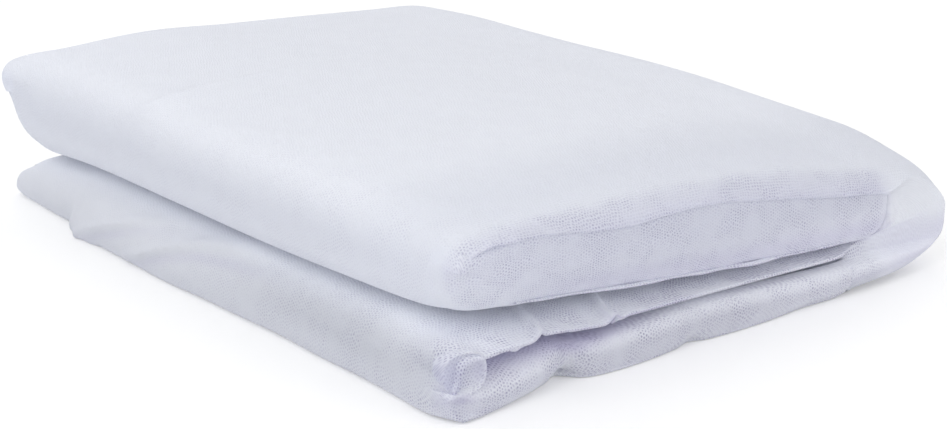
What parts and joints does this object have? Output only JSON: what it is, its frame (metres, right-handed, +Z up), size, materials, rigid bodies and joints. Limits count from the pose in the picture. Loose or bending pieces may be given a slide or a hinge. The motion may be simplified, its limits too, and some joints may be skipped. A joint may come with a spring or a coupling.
{
  "type": "folded gazebo mosquito net",
  "caption": "White mosquito net for the sides of a gazebo, folded back and forth into layers and bent over once into a soft flat pad with round edges.",
  "frame": {"origin": "centre of the bounding box's underside, on the surface that the folded net rests on", "axes": "+X from the open side, where the two halves part, to the bend; +Y along the longest side, from the front, where the ends of the layers show, to the back; +Z up"},
  "size_m": [0.324, 0.424, 0.084],
  "materials": {
    "netting": "matt fine hexagonal polyester netting, white with a faint lavender cast, sheer in a single ply"
  },
  "bodies": {
    "root": {"net": "netting"}
  },
  "joints": []
}
